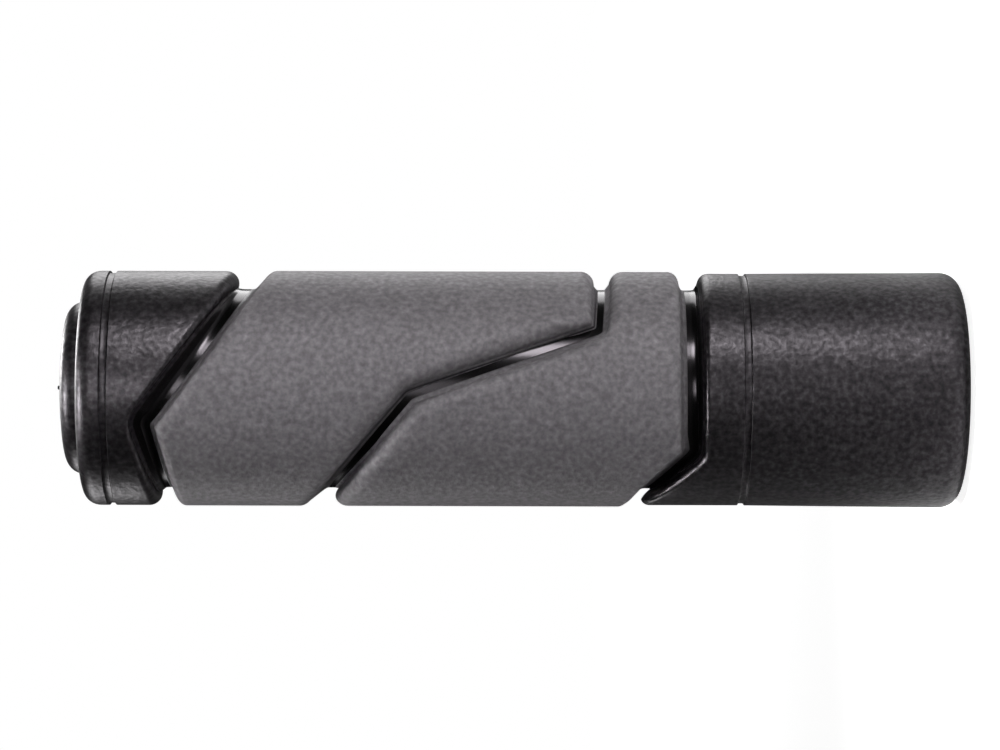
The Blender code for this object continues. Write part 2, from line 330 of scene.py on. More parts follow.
@dataclass(frozen=True)
class GripSizes:
    """The grip's driving sizes."""

    bore: float = 0.0111
    sleeve_wall: float = 0.0024
    groove_depth: float = 0.0025
    length: float = 0.1187
    end_wall: float = 0.0040
    closed_drop: float = 0.00004
    open_drop: float = 0.00021
    shoulder_length: float = 0.00215
    shoulder_width: float = 0.00180
    shoulder_face: float = 0.00247
    dome_wall: float = 0.00042
    dome_edge_length: float = 0.00177
    dome_edge_width: float = 0.00190
    dome_crown: float = 0.00108
    pip_radius: float = 0.00032
    pip_height: float = 0.00070
    rim_face: float = 0.00245
    rim_length: float = 0.0027
    closed_ring_gap: float = 0.00100
    closed_ring_width: float = 0.00125
    closed_ring_depth: float = 0.00030
    open_sleeve: float = 0.02895
    open_ring_width: float = 0.0012
    open_ring_depth: float = 0.00027
    closed_flat: float = 0.00192
    open_flat: float = 0.00370
    foot_sink: float = 0.00006
    taper_share: float = 0.94
    closed_bend: float = -0.290
    closed_bow: float = 0.00120
    closed_upper_slope: float = -0.759
    closed_lower_slope: float = 0.317
    closed_black_width: Width = Width(0.98, 0.23)
    closed_grey_width: Width = Width(0.86)
    middle_low_bend: float = 0.485
    middle_high_bend: float = -0.055
    middle_low_share: float = 0.170
    middle_high_share: float = 0.511
    middle_upper_slope: float = -0.093
    middle_lower_slope: float = -0.862
    middle_inner_width: Width = Width(1.12, 0.45)
    open_bend: float = -0.512
    open_bow: float = -0.00035
    open_upper_slope: float = 0.010
    open_lower_slope: float = -1.120
    open_grey_width: Width = Width(0.68, 0.60)
    open_black_width: Width = Width(0.95, 0.97)
    closed_black: EdgeSection = EdgeSection(
        floor_half=0.00070, wall_run=0.00150, lip=0.00060, loss=0.00074, gain=0.00089, pinch=0.45
    )
    closed_grey: EdgeSection = EdgeSection(
        floor_half=0.00070, wall_run=0.00045, lip=0.00150, foot_reach=0.00050
    )
    middle_outer: EdgeSection = EdgeSection(
        floor_half=0.00045, wall_run=0.00060, lip=0.00180, foot_reach=0.00020
    )
    middle_inner: EdgeSection = EdgeSection(
        floor_half=0.00045, wall_run=0.00060, lip=0.00180, pinch=0.90, foot_reach=0.00020
    )
    open_grey: EdgeSection = EdgeSection(
        floor_half=0.00085, wall_run=0.00045, lip=0.00150, foot_reach=0.00085
    )
    open_black: EdgeSection = EdgeSection(
        floor_half=0.00085, wall_run=0.00090, lip=0.00080, loss=0.00032, gain=0.00052
    )

    @property
    def floor(self) -> float:
        """Radius of the groove floor."""
        return self.bore + self.sleeve_wall

    @property
    def outer(self) -> float:
        """Radius of the grey bands."""
        return self.floor + self.groove_depth

    @property
    def band_foot(self) -> float:
        """Radius of the grey bands' feet, sunk a little into the floor."""
        return self.floor - self.foot_sink

    @property
    def closed_land(self) -> float:
        """Radius of the black land at the closed end."""
        return self.outer - self.closed_drop

    @property
    def open_land(self) -> float:
        """Radius of the black land at its groove, near the open end."""
        return self.outer - self.open_drop

    @property
    def dome(self) -> float:
        """Radius of the dome's foot."""
        return self.closed_land - self.shoulder_width - self.shoulder_face

    @property
    def closed_ring_low(self) -> float:
        """Height of the lower edge of the fine ring groove near the closed end."""
        return self.length - self.shoulder_length - self.closed_ring_gap - self.closed_ring_width

    @property
    def open_ring_high(self) -> float:
        """Height of the upper edge of the fine ring groove near the open end."""
        return self.open_sleeve + self.open_ring_width

    @property
    def closed_groove(self) -> float:
        """Height of the bend of the groove near the closed end."""
        bowed = self.closed_bow * (1.0 - self.closed_bend**2)
        return self.closed_ring_low - self.closed_flat - self.closed_black.reach + bowed

    @property
    def open_groove(self) -> float:
        """Height of the bend of the groove near the open end."""
        return self.open_ring_high + self.open_flat + self.open_black.reach

    def _leg(
        self, x: float, z: float, slope: float, above: Width = Width(), below: Width = Width()
    ) -> Leg:
        """Give a leg whose tapers end near the grip's lower outline."""
        return Leg(x, z, slope, self.taper_share * self.outer, above, below)

    def closed_line(self) -> GrooveLine:
        """Give the groove line between the closed end and the outer band."""
        x, z = self.closed_bend * self.outer, self.closed_groove
        above, below = self.closed_black_width, self.closed_grey_width
        legs = (
            self._leg(x, z, self.closed_upper_slope),
            self._leg(x, z, self.closed_lower_slope, above, below),
        )
        return GrooveLine("closed_groove_height", legs, (Join.LOW,), self.outer, self.closed_bow)

    def middle_line(self) -> GrooveLine:
        """Give the groove line between the two bands."""
        span = self.closed_groove - self.open_groove
        low_x, high_x = self.middle_low_bend * self.outer, self.middle_high_bend * self.outer
        low_z = self.open_groove + self.middle_low_share * span
        high_z = self.open_groove + self.middle_high_share * span
        steep = (low_z - high_z) / (low_x - high_x)
        legs = (
            self._leg(low_x, low_z, self.middle_upper_slope),
            self._leg(high_x, high_z, steep),
            self._leg(high_x, high_z, self.middle_lower_slope, below=self.middle_inner_width),
        )
        return GrooveLine("middle_groove_height", legs, (Join.HIGH, Join.LOW), self.outer)

    def open_line(self) -> GrooveLine:
        """Give the groove line between the inner band and the open end."""
        x, z = self.open_bend * self.outer, self.open_groove
        above, below = self.open_grey_width, self.open_black_width
        legs = (
            self._leg(x, z, self.open_upper_slope),
            self._leg(x, z, self.open_lower_slope, above, below),
        )
        return GrooveLine("open_groove_height", legs, (Join.HIGH,), self.outer, self.open_bow)


# Shells


@dataclass(frozen=True)
class LipEdge:
    """One side of a groove: the round land, a rolled lip, a leaning wall and its foot."""

    label: str
    line: GrooveLine
    side: Side
    land: float
    foot: float
    section: EdgeSection
    wall_least: float = 0.00015
    slope_reach: float = 0.0010
    lean_limit: float = 0.95

    def place(self, shell: "ShellTree", part: Field, ledge: Field) -> tuple[Field, Field]:
        """Work out where a point of this edge lies.

        Args:
            shell: the tree that the edge is built in.
            part: 0 at the lip's start, 1 at its end and 2 at the wall's foot.
            ledge: how far the point is moved on into the groove, from 0 to 1.

        Returns:
            The point's radius and height.
        """
        section = self.section
        land = shell.size(f"{self.label} Land Radius", self.land)
        foot = shell.size(f"{self.label} Foot Radius", self.foot)
        half = shell.size(f"{self.label} Floor Half Width", section.floor_half)
        wall_run = shell.size(f"{self.label} Wall Run", section.wall_run)
        lip = shell.size(f"{self.label} Lip Radius", section.lip)
        at_edge = shell.across * land
        ahead = self.line.height(at_edge + self.slope_reach)
        behind = self.line.height(at_edge - self.slope_reach)
        slope = (ahead - behind) / (2.0 * self.slope_reach)
        stretch = (slope * slope + 1.0).run("SQRT")
        lean = shell.across * slope * self.side.value / stretch
        lean = lean.between(-self.lean_limit, self.lean_limit)
        turn = lean.run("ARCCOSINE")
        squared = shell.across * shell.across
        room = (land - foot - self.wall_least) / (1.0 - lean)
        radius = (lip + squared * section.gain).low(room)
        rolled = turn * part.between(0.0, 1.0)
        drop = radius * (1.0 - rolled.run("COSINE"))
        inset = radius * (1.0 - (turn - rolled).run("COSINE"))
        down = (part - 1.0).between(0.0, 1.0)
        level = (land - drop).mixed(foot, down)
        lower = (shell.across * -1.0).high(0.0)
        pinched = half * (1.0 - down * lower * lower * section.pinch)
        run = wall_run - squared * section.loss
        edge = pinched + run * (1.0 - down) - ledge * section.foot_reach
        edge = edge * self.side.value
        return level, self.line.height(shell.across * level, edge, inset * self.side.value)


@dataclass(frozen=True)
class Row:
    """One ring of a piece.

    part is 0 at a lip's start, 1 at its end and 2 at its wall's foot, and goes down to -1 on
    a ring that stands at its own level and rise. between goes from the first edge to the
    second. ledge goes from 0 at a wall's foot to 1 at the end of its hollow fillet.
    gloss_and_shade is 1 where the surface is smooth and glossy; on the grey bands the same
    share also darkens the wall feet and the outer band's lower wall, as painted shade.
    """

    part: float
    between: float
    level: float = 0.0
    rise: float = 0.0
    gloss_and_shade: float = 0.0
    ledge: float = 0.0


class ShellTree:
    """A Geometry Nodes tree that turns a profile of rows into a closed moulded shell."""

    def __init__(self, name: str) -> None:
        """Start the tree.

        Args:
            name: the tree's name.
        """
        self.tree = bpy.data.node_groups.new(name, "GeometryNodeTree")
        self.values: dict[str, float] = {}
        face = self.tree.interface
        face.new_socket("Profile", in_out="INPUT", socket_type="NodeSocketGeometry")
        face.new_socket("Columns", in_out="INPUT", socket_type="NodeSocketInt")
        face.new_socket("Finish", in_out="INPUT", socket_type="NodeSocketMaterial")
        face.new_socket("Shell", in_out="OUTPUT", socket_type="NodeSocketGeometry")
        self.start = self.tree.nodes.new("NodeGroupInput")
        self.end = self.tree.nodes.new("NodeGroupOutput")
        self.columns = Field(self.tree, self.start.outputs["Columns"])
        self._rows()

    def size(self, name: str, value: float) -> Field:
        """Add a named size to the tree's inputs, or find the one that is there.

        Args:
            name: the input's name.
            value: what the modifier sets it to.

        Returns:
            The size as a field.
        """
        if name not in self.values:
            self.tree.interface.new_socket(name, in_out="INPUT", socket_type="NodeSocketFloat")
            self.values[name] = value
        return Field(self.tree, self.start.outputs[name])

    def _rows(self) -> None:
        """Lay out the grid of rows and columns, and find each point's row and column."""
        tree = self.tree
        count = tree.nodes.new("GeometryNodeAttributeDomainSize")
        tree.links.new(self.start.outputs["Profile"], count.inputs[0])
        rows = Field(tree, count.outputs["Point Count"])
        self.grid = tree.nodes.new("GeometryNodeMeshGrid")
        (self.columns + 1.0).into(self.grid, "Vertices X")
        rows.into(self.grid, "Vertices Y")
        index = Field(tree, tree.nodes.new("GeometryNodeInputIndex").outputs[0])
        column = ((index + 0.5) / rows).run("FLOOR")
        self.row = index - column * rows
        angle = column / self.columns * FULL_TURN
        self.across = angle.run("SINE")
        self.away = angle.run("COSINE")

    def sampled(self, name: str) -> Field:
        """Read one of the profile's attributes at each point's own row."""
        tree = self.tree
        source = tree.nodes.new("GeometryNodeInputNamedAttribute")
        source.data_type = "FLOAT"
        source.inputs["Name"].default_value = name
        sample = tree.nodes.new("GeometryNodeSampleIndex")
        sample.data_type = "FLOAT"
        tree.links.new(self.start.outputs["Profile"], sample.inputs["Geometry"])
        tree.links.new(source.outputs["Attribute"], sample.inputs["Value"])
        self.row.into(sample, "Index")
        return Field(tree, sample.outputs[0])

    def finish(self, level: Field, rise: Field, gloss_and_shade: Field) -> None:
        """Set the points, close the seams, and end in Realize Instances and Set Material.

        Args:
            level: each point's radius.
            rise: each point's height.
            gloss_and_shade: the share of glossy finish, kept for the material; on the grey bands
                it is also painted shade.
        """
        tree = self.tree
        point = tree.nodes.new("ShaderNodeCombineXYZ")
        (level * self.across).into(point, "X")
        (level * self.away * -1.0).into(point, "Y")
        rise.into(point, "Z")
        # Store the glossy share, which on the grey bands also carries their painted shade.
        keep = tree.nodes.new("GeometryNodeStoreNamedAttribute")
        keep.data_type = "FLOAT"
        keep.domain = "POINT"
        keep.inputs["Name"].default_value = "gloss_and_shade"
        gloss_and_shade.into(keep, "Value")
        place = tree.nodes.new("GeometryNodeSetPosition")
        tree.links.new(point.outputs["Vector"], place.inputs["Position"])
        merge = tree.nodes.new("GeometryNodeMergeByDistance")
        merge.inputs["Distance"].default_value = MERGE_DISTANCE
        turn = tree.nodes.new("GeometryNodeFlipFaces")
        solid = tree.nodes.new("GeometryNodeRealizeInstances")
        dress = tree.nodes.new("GeometryNodeSetMaterial")
        tree.links.new(self.start.outputs["Finish"], dress.inputs["Material"])
        chain = (self.grid, keep, place, merge, turn, solid, dress, self.end)
        for before, after in zip(chain, chain[1:]):
            tree.links.new(before.outputs[0], after.inputs[0])


# Finishes


@dataclass(frozen=True)
class RubberFinish:
    """Moulded rubber: fine eroded grain on the lands, glossy grooves, and painted shade on grey
    walls.
    """

    name: str
    colour: tuple[float, float, float]
    roughness: float
    grain_height: float
    # The colour where the surface is glossy: the black sleeve's own glossy core, but on the grey
    # bands a near-black painted shade at the wall feet and on the outer band's lower wall.
    gloss_and_shade_colour: tuple[float, float, float]
    polish_roughness: float
    speckle: float
    sparkle: float
    tint: tuple[float, float, float] = (1.0, 0.95, 1.0)
    specular: float = 0.5
    polish_gleam: float = 0.6
    glint: float = 0.0
    grain_scale: float = 1400.0
    fine_scale: float = 2900.0
    patch_scale: float = 90.0
    patch_change: float = 0.08
    coarse_share: float = 0.62
    coarse_detail: float = 0.0
    fine_detail: float = 1.0
    patch_detail: float = 2.0
    noise_roughness: float = 0.55

    def _texture(
        self, tree: bpy.types.NodeTree, place: bpy.types.NodeSocket, scale: float, detail: float
    ) -> Field:
        """Add a noise pattern on the object's own coordinates."""
        node = tree.nodes.new("ShaderNodeTexNoise")
        node.inputs["Scale"].default_value = scale
        node.inputs["Detail"].default_value = detail
        node.inputs["Roughness"].default_value = self.noise_roughness
        tree.links.new(place, node.inputs["Vector"])
        return Field(tree, node.outputs["Fac"])

    def build(self) -> bpy.types.Material:
        """Make the material.

        Returns:
            The finished material.
        """
        material = bpy.data.materials.new(self.name)
        material.use_nodes = True
        tree = material.node_tree
        shader = tree.nodes["Principled BSDF"]
        shader.inputs["Metallic"].default_value = 0.0
        shader.inputs["Specular Tint"].default_value = (*self.tint, 1.0)
        place = tree.nodes.new("ShaderNodeTexCoord").outputs["Object"]
        # The stored share makes the surface glossy and darkens it: real on the black sleeve,
        # painted shade on the grey bands.
        gloss_and_shade_node = tree.nodes.new("ShaderNodeAttribute")
        gloss_and_shade_node.attribute_name = "gloss_and_shade"
        gloss_and_shade = Field(tree, gloss_and_shade_node.outputs["Fac"])
        coarse = self._texture(tree, place, self.grain_scale, self.coarse_detail)
        fine = self._texture(tree, place, self.fine_scale, self.fine_detail)
        patches = self._texture(tree, place, self.patch_scale, self.patch_detail)
        grain = coarse * self.coarse_share + fine * (1.0 - self.coarse_share)
        lift = grain - NOISE_MIDDLE
        bright = lift * lift * self.glint
        shade = lift * self.speckle + bright
        shade = shade + (patches - NOISE_MIDDLE) * self.patch_change + 1.0
        land = self._tinted(tree, self.colour, shade)
        # Mix to the darker colour where that share is 1; on the grey bands this is painted shade.
        mix = tree.nodes.new("ShaderNodeMix")
        mix.data_type = "RGBA"
        gloss_and_shade.into(mix, "Factor")
        tree.links.new(land, mix.inputs["A"])
        mix.inputs["B"].default_value = (*self.gloss_and_shade_colour, 1.0)
        tree.links.new(mix.outputs["Result"], shader.inputs["Base Color"])
        rough = (patches - NOISE_MIDDLE) * self.patch_change + self.roughness
        rough = rough.mixed(self.polish_roughness, gloss_and_shade)
        rough.into(shader, "Roughness")
        gleam = (lift * self.sparkle + bright + 1.0).high(0.0)
        gleam = gleam.mixed(self.polish_gleam, gloss_and_shade)
        (gleam * self.specular).into(shader, "Specular IOR Level")
        bump = tree.nodes.new("ShaderNodeBump")
        bump.inputs["Distance"].default_value = self.grain_height
        grain.into(bump, "Height")
        (1.0 - gloss_and_shade).into(bump, "Strength")
        tree.links.new(bump.outputs["Normal"], shader.inputs["Normal"])
        return material

    @staticmethod
    def _tinted(
        tree: bpy.types.NodeTree, colour: tuple[float, float, float], shade: Field
    ) -> bpy.types.NodeSocket:
        """Give the socket of a colour that a field makes lighter or darker."""
        node = tree.nodes.new("ShaderNodeVectorMath")
        node.operation = "SCALE"
        node.inputs[0].default_value = colour
        shade.into(node, "Scale")
        return node.outputs["Vector"]


# Pieces


@dataclass(frozen=True)
class MouldedPiece:
    """A closed moulded shell between two groove edges."""

    name: str
    node: str
    slot: str
    finish: RubberFinish
    sizes: GripSizes
    columns: int = 384
    lip_steps: int = 10
    wall_steps: int = 8
    wall_end: float = 0.70
    # Where the wall's glossy part starts and how far it grows; on the grey bands this also places
    # the painted shade.
    gloss_and_shade_start: float = 0.25
    gloss_and_shade_reach: float = 0.35
    sharp_angle: float = math.radians(34.0)

    def edges(self) -> tuple[LipEdge, LipEdge]:
        """Give the two groove edges that the piece lies between."""
        raise NotImplementedError

    def make_rows(self) -> list[Row]:
        """Give the rows from one end of the profile to the other."""
        raise NotImplementedError

    def lip_rows(self, between: float, downwards: bool, wall_gloss_and_shade: float) -> list[Row]:
        """Give the rows of one lip and its wall.

        Args:
            between: 0 for the first edge and 1 for the second.
            downwards: whether the rows go from the land to the foot.
            wall_gloss_and_shade: the gloss on the wall.

        Returns:
            The rows, in order.
        """
        made = []
        for step in range(self.lip_steps + 1):
            made.append(Row(step / self.lip_steps, between))
        for step in range(1, self.wall_steps + 1):
            share = step / self.wall_steps
            # This ramp also darkens a grey band's wall: painted shade down the wall.
            gloss_and_shade_ramp = max(0.0, min(1.0, (share - self.gloss_and_shade_start) / self.gloss_and_shade_reach))
            part = 1.0 + self.wall_end * share
            made.append(Row(part, between, gloss_and_shade=wall_gloss_and_shade * gloss_and_shade_ramp))
        return made if downwards else made[::-1]

    def profile(self, rows: list[Row]) -> bpy.types.Mesh:
        """Make the profile's mesh, a chain of points that carry the rows' values."""
        mesh = bpy.data.meshes.new(f"{self.name}_profile")
        points = [(row.level, 0.0, row.rise) for row in rows]
        chain = [(index, index + 1) for index in range(len(points) - 1)]
        mesh.from_pydata(points, chain, [])
        for label in ("part", "between", "level", "rise", "gloss_and_shade", "ledge"):
            values = mesh.attributes.new(label, "FLOAT", "POINT")
            values.data.foreach_set("value", [getattr(row, label) for row in rows])
        return mesh

    def tree(self) -> ShellTree:
        """Build the piece's Geometry Nodes tree."""
        shell = ShellTree(f"{self.name}_shell")
        part = shell.sampled("part")
        share = shell.sampled("between")
        ledge = shell.sampled("ledge")
        first, second = (edge.place(shell, part, ledge) for edge in self.edges())
        own = (part * -1.0).between(0.0, 1.0)
        level = first[0].mixed(second[0], share).mixed(shell.sampled("level"), own)
        rise = first[1].mixed(second[1], share).mixed(shell.sampled("rise"), own)
        shell.finish(level, rise, shell.sampled("gloss_and_shade"))
        return shell

    def build(self) -> None:
        """Build the piece, make it a plain mesh and tie it to the frame."""
        rows = self.make_rows()
        shell = self.tree()
        source = placed(f"{self.name}_source", self.profile(rows))
        modifier = source.modifiers.new("shell", "NODES")
        modifier.node_group = shell.tree
        keys = {item.name: item.identifier for item in shell.tree.interface.items_tree}
        modifier[keys["Columns"]] = self.columns
        modifier[keys["Finish"]] = self.finish.build()
        for label, value in shell.values.items():
            modifier[keys[label]] = value
        bpy.context.view_layer.update()
        graph = bpy.context.evaluated_depsgraph_get()
        mesh = bpy.data.meshes.new_from_object(
            source.evaluated_get(graph), preserve_all_data_layers=True, depsgraph=graph
        )
        source.modifiers.remove(modifier)
        bpy.data.objects.remove(source, do_unlink=True)
        mesh.name = self.name
        mesh.shade_smooth()
        mesh.set_sharp_from_angle(angle=self.sharp_angle)
        piece = placed(self.name, mesh)
        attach(piece, "root")
        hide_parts(self.node)
        LOG.info("%s: %d rows, %d faces", self.name, len(rows), len(mesh.polygons))


@dataclass(frozen=True)
class GripBody(MouldedPiece):
    """The black sleeve: dome, shoulder, end lands, groove floor, rim and bore.

    pip_shares and ring_wall are shares of the pip's and the ring groove's sizes. dome_foot,
    bore_mouth and bore_corner are distances in metres from the corner that they round.
    """

    floor_rows: int = 30
    fillet_steps: int = 8
    fillet_rise: float = 0.16
    fillet_reach: float = 0.013
    land_rows: int = 4
    open_rows: int = 6
    bore_rows: int = 7
    edge_steps: int = 9
    crown_steps: int = 14
    crown_growth: float = 1.4
    bore_polish: float = 0.5
    pip_foot: float = 1.25
    pip_shares: Pairs = ((0.0, 0.0), (0.6, 0.03), (0.75, 0.12), (0.9, 0.35), (1.0, 0.8))
    dome_foot: Pairs = ((0.00006, 0.00010), (0.00016, 0.0))
    ring_wall: Pairs = (
        (0.05, 0.0), (0.07, 0.04), (0.09, 0.18), (0.15, 0.82), (0.17, 0.96), (0.19, 1.0)
    )
    bore_mouth: Pairs = ((0.00030, 0.0), (0.00009, 0.00006), (0.0, 0.00030))
    bore_corner: Pairs = ((0.0, 0.00050), (0.00012, 0.00015), (0.00050, 0.0))

    def edges(self) -> tuple[LipEdge, LipEdge]:
        """Give the edges of the two black lands."""
        sizes = self.sizes
        closed = LipEdge(
            "Closed End", sizes.closed_line(), Side.ABOVE, sizes.closed_land, sizes.floor,
            sizes.closed_black,
        )
        opened = LipEdge(
            "Open End", sizes.open_line(), Side.BELOW, sizes.open_land, sizes.floor,
            sizes.open_black,
        )
        return closed, opened

    @staticmethod
    def _plain(level: float, rise: float, between: float = 0.0, gloss_and_shade: float = 0.0) -> Row:
        """Give a ring at its own level and rise."""
        return Row(-1.0, between, level, rise, gloss_and_shade)

    def _crown(self, radius: float) -> float:
        """Give the dome's height above the closed end's flat face."""
        sizes = self.sizes
        height = sizes.dome_wall + sizes.dome_edge_length
        height += sizes.dome_crown * (1.0 - (radius / sizes.dome) ** 2)
        past = (radius - sizes.dome + sizes.dome_edge_width) / sizes.dome_edge_width
        if past > 0.0:
            height -= sizes.dome_edge_length * (1.0 - math.sqrt(max(0.0, 1.0 - past * past)))
        return height

    def _dome_rows(self) -> list[Row]:
        """Give the moulding pip, the dome and the small fillet at the dome's foot."""
        sizes = self.sizes
        top = sizes.length + self._crown(0.0) + sizes.pip_height
        start, edge = self.pip_foot * sizes.pip_radius, sizes.dome - sizes.dome_edge_width
        made = []
        for out, drop in self.pip_shares:
            rise = top - drop * sizes.pip_height
            made.append(self._plain(out * sizes.pip_radius, rise, gloss_and_shade=1.0))
        for step in range(self.crown_steps + 1):
            radius = start + (edge - start) * (step / self.crown_steps) ** self.crown_growth
            made.append(self._plain(radius, sizes.length + self._crown(radius)))
        for step in range(1, self.edge_steps + 1):
            turn = QUARTER_TURN * step / self.edge_steps
            radius = edge + sizes.dome_edge_width * math.sin(turn)
            made.append(self._plain(radius, sizes.length + self._crown(radius)))
        return made + [
            self._plain(sizes.dome + out, sizes.length + up) for out, up in self.dome_foot
        ]

    def _shoulder_rows(self) -> list[Row]:
        """Give the flat face round the dome and the rounded shoulder."""
        sizes = self.sizes
        inner = sizes.closed_land - sizes.shoulder_width
        made = [self._plain(0.5 * (sizes.dome + inner), sizes.length)]
        for step in range(self.edge_steps + 1):
            turn = QUARTER_TURN * step / self.edge_steps
            rise = sizes.length - sizes.shoulder_length * (1.0 - math.cos(turn))
            made.append(self._plain(inner + sizes.shoulder_width * math.sin(turn), rise))
        return made

    def _ring_rows(
        self,
        low: float,
        width: float,
        depth: float,
        level: Callable[[float], float],
        between: float,
    ) -> list[Row]:
        """Give a fine ring groove with steep walls and a flat floor like the land.

        Args:
            low: height of its lower edge.
            width: its width at the top.
            depth: how deep it is.
            level: the land's radius at a height.
            between: which edge the rows belong with.

        Returns:
            The rows, from the ring's upper edge to its lower one.
        """
        half = [(0.0, 0.0), *self.ring_wall, (0.5, 1.0)]
        made = []
        for share, sunk in [(1.0 - share, sunk) for share, sunk in half] + half[:-1][::-1]:
            rise = low + share * width
            made.append(self._plain(level(rise) - sunk * depth, rise, between))
        return made

    def _open_level(self, rise: float) -> float:
        """Give the open end's land radius, which widens a little towards the rim."""
        sizes = self.sizes
        share = (rise - sizes.rim_length) / (sizes.open_sleeve - sizes.rim_length)
        return sizes.outer - sizes.open_drop * max(0.0, min(1.0, share))

    def _land_to_lip(self, level: float, rise: float, between: float) -> list[Row]:
        """Give the rows between a level ring and a lip."""
        steps = range(1, self.land_rows)
        return [Row(step / self.land_rows - 1.0, between, level, rise) for step in steps]

    def _fillet_rows(self, start: float, way: float) -> list[Row]:
        """Give the rows of the hollow fillet between a wall and the groove's floor.

        Args:
            start: which edge the wall belongs with.
            way: 1 where the floor is towards the second edge, and -1 towards the first.

        Returns:
            The rows, from the wall to the floor.
        """
        made = []
        for step in range(self.fillet_steps + 1):
            share = step / self.fillet_steps
            part = 2.0 - self.fillet_rise * (1.0 - share) ** 2
            made.append(Row(part, start + way * self.fillet_reach * share**2, gloss_and_shade=1.0))
        return made

    def _open_end_rows(self) -> list[Row]:
        """Give the open end's land, its rim, the flat face and the bore."""
        sizes = self.sizes
        inner = sizes.bore + sizes.rim_face
        land = sizes.rim_length - sizes.open_sleeve
        made = []
        for step in range(1, self.open_rows):
            rise = sizes.open_sleeve + land * step / self.open_rows
            made.append(self._plain(self._open_level(rise), rise, 1.0))
        for step in range(self.edge_steps + 1):
            turn = QUARTER_TURN * step / self.edge_steps
            level = inner + (sizes.outer - inner) * math.cos(turn)
            made.append(self._plain(level, sizes.rim_length * (1.0 - math.sin(turn)), 1.0))
        made.append(self._plain(0.5 * (inner + sizes.bore), 0.0, 1.0))
        end = sizes.length - sizes.end_wall
        low, high = self.bore_mouth[-1][1], end - self.bore_corner[0][1]
        inside = [(sizes.bore + out, up) for out, up in self.bore_mouth]
        for step in range(1, self.bore_rows):
            inside.append((sizes.bore, low + (high - low) * step / self.bore_rows))
        inside += [(sizes.bore - back, end - down) for back, down in self.bore_corner]
        inside += [(0.5 * sizes.bore, end), (0.0, end)]
        return made + [self._plain(*point, 1.0, self.bore_polish) for point in inside]

    def make_rows(self) -> list[Row]:
        """Give the rows from the pip down to the bore's end wall."""
        sizes = self.sizes
        closed_ring = self._ring_rows(
            sizes.closed_ring_low, sizes.closed_ring_width, sizes.closed_ring_depth,
            lambda rise: sizes.closed_land, 0.0,
        )
        open_ring = self._ring_rows(
            sizes.open_sleeve, sizes.open_ring_width, sizes.open_ring_depth,
            self._open_level, 1.0,
        )
        steps = range(1, self.floor_rows)
        return [
            *self._dome_rows(),
            *self._shoulder_rows(),
            *closed_ring,
            *self._land_to_lip(sizes.closed_land, sizes.closed_ring_low, 0.0),
            *self.lip_rows(0.0, True, 1.0),
            *self._fillet_rows(0.0, 1.0),
            *[Row(2.0, step / self.floor_rows, gloss_and_shade=1.0) for step in steps],
            *self._fillet_rows(1.0, -1.0)[::-1],
            *self.lip_rows(1.0, False, 1.0),
            *self._land_to_lip(sizes.open_land, sizes.open_ring_high, 1.0)[::-1],
            *open_ring,
            *self._open_end_rows(),
        ]


@dataclass(frozen=True, kw_only=True)
class GreyBand(MouldedPiece):
    """A grey band that lies between two groove lines and meets the sleeve's floor."""

    upper: LipEdge
    lower: LipEdge
    # How far the lower wall is glossy and painted dark; the dark colour is painted shade.
    lower_gloss_and_shade: float = 0.0
    land_rows: int = 26
    foot_steps: int = 8
    foot_rise: float = 0.26
    foot_height: float = 0.030

    def edges(self) -> tuple[LipEdge, LipEdge]:
        """Give the band's upper and lower edges."""
        return self.upper, self.lower

    def _foot_rows(self, between: float) -> list[Row]:
        """Give the rows of the hollow fillet at a wall's foot, from the wall outwards, darkening
        it towards the floor as painted shade.
        """
        made = []
        for step in range(self.foot_steps + 1):
            share = step / self.foot_steps
            rise = (self.foot_rise - self.foot_height) * (1.0 - share) ** 2
            part = 2.0 - self.foot_height - rise
            made.append(Row(part, between, gloss_and_shade=share, ledge=share**2))
        made.append(Row(2.0, between, gloss_and_shade=1.0, ledge=1.0))
        return made

    def make_rows(self) -> list[Row]:
        """Give the rows round the band, closed on its first row."""
        steps = range(1, self.land_rows)
        made = [
            *self._foot_rows(0.0)[::-1],
            *self.lip_rows(0.0, False, 0.0),
            *[Row(0.0, step / self.land_rows) for step in steps],
            *self.lip_rows(1.0, True, self.lower_gloss_and_shade),
            *self._foot_rows(1.0),
        ]
        return [*made, made[0]]


# Studio


@dataclass(frozen=True)
class SoftLamp:
    """One area lamp aimed at the grip."""

    name: str
    place: tuple[float, float, float]
    size: tuple[float, float]
    power: float
    aim: tuple[float, float, float] = MIDDLE_AIM
    spread: float = 180.0

    def build(self) -> None:
        """Make the lamp."""
        data = bpy.data.lights.new(self.name, "AREA")
        data.shape = "RECTANGLE"
        data.size, data.size_y = self.size
        data.energy = self.power
        data.spread = math.radians(self.spread)
        lamp = placed(self.name, data)
        away = Vector(self.place) - Vector(self.aim)
        lamp.rotation_euler = away.to_track_quat("Z", "Y").to_euler()
        lamp.location = self.place


